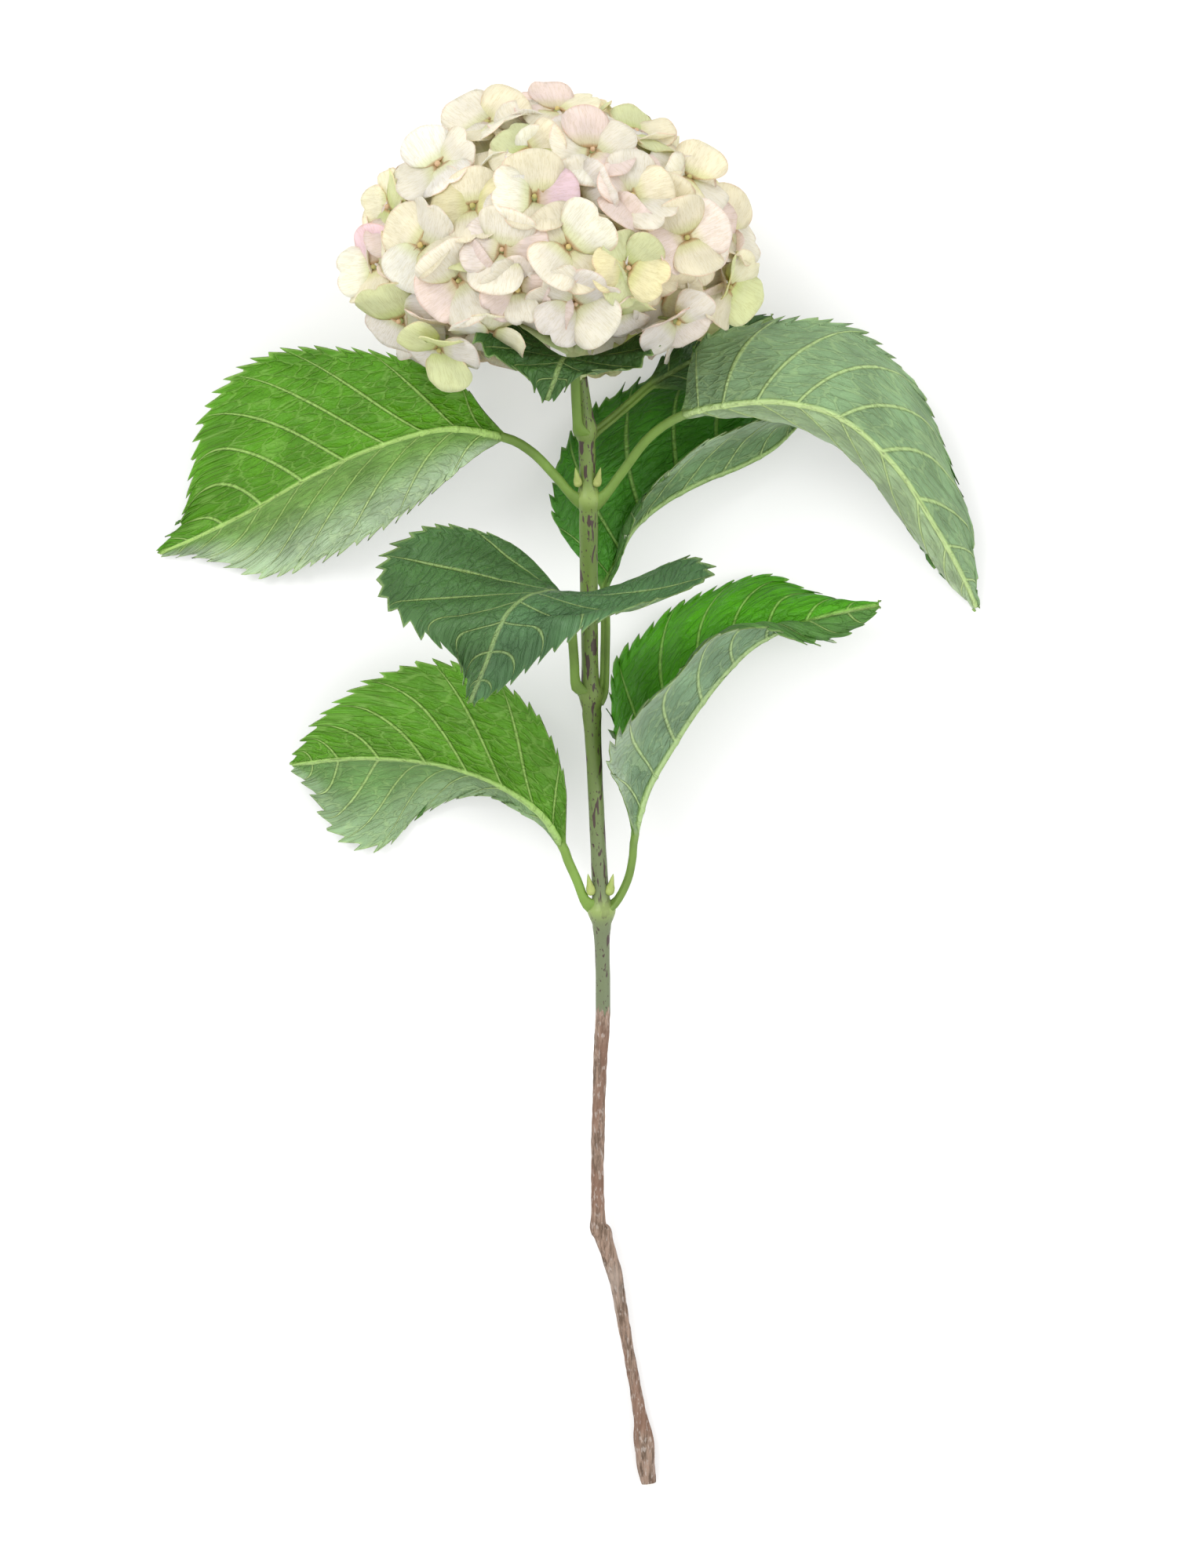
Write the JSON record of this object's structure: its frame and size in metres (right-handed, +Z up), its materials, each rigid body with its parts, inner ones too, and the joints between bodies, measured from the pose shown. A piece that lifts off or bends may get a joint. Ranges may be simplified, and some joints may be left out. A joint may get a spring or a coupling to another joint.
{
  "type": "cut hydrangea",
  "caption": "Cut mophead hydrangea lying on its side: a woody stem with opposite serrated leaves, axil buds and a rounded head of four-petalled florets on branching stalks.",
  "frame": {"origin": "centre of the bounding box in X and Y, at the height of the surface that the flower lies on (Z = 0)", "axes": "+Y along the stem from the cut end towards the flower head, +Z up from the surface, +X to the right when seen from above with the head away from the viewer"},
  "size_m": [0.35, 0.588, 0.1396],
  "materials": {
    "stem": "satin, green with dark flecks above and grey-brown bark below",
    "leaf": "satin, lets light through, paler and more matt underneath",
    "bud": "satin yellow-green",
    "flower_stalk": "satin pale green",
    "petal": "matt cream to pink and pale green, lets light through"
  },
  "bodies": {
    "root": {"stem": "stem", "leaf_lower_left": "leaf", "leaf_lower_right": "leaf", "leaf_middle_front": "leaf", "leaf_middle_back": "leaf", "leaf_upper_left": "leaf", "leaf_upper_right": "leaf", "leaf_top_front": "leaf", "leaf_top_back": "leaf", "bud_lower_left": "bud", "bud_lower_right": "bud", "bud_upper_left": "bud", "bud_upper_right": "bud", "flower_stalks": "flower_stalk", "floret_01": "petal", "floret_02": "petal", "floret_03": "petal", "floret_04": "petal", "floret_05": "petal", "floret_06": "petal", "floret_07": "petal", "floret_08": "petal", "floret_09": "petal", "floret_10": "petal", "floret_11": "petal", "floret_12": "petal", "floret_13": "petal", "floret_14": "petal", "floret_15": "petal", "floret_16": "petal", "floret_17": "petal", "floret_18": "petal", "floret_19": "petal", "floret_20": "petal", "floret_21": "petal", "floret_22": "petal", "floret_23": "petal", "floret_24": "petal", "floret_25": "petal", "floret_26": "petal", "floret_27": "petal", "floret_28": "petal", "floret_29": "petal", "floret_30": "petal", "floret_31": "petal", "floret_32": "petal", "floret_33": "petal", "floret_34": "petal", "floret_35": "petal", "floret_36": "petal", "floret_37": "petal", "floret_38": "petal", "floret_39": "petal", "floret_40": "petal", "floret_41": "petal", "floret_42": "petal", "floret_43": "petal", "floret_44": "petal"}
  },
  "joints": []
}
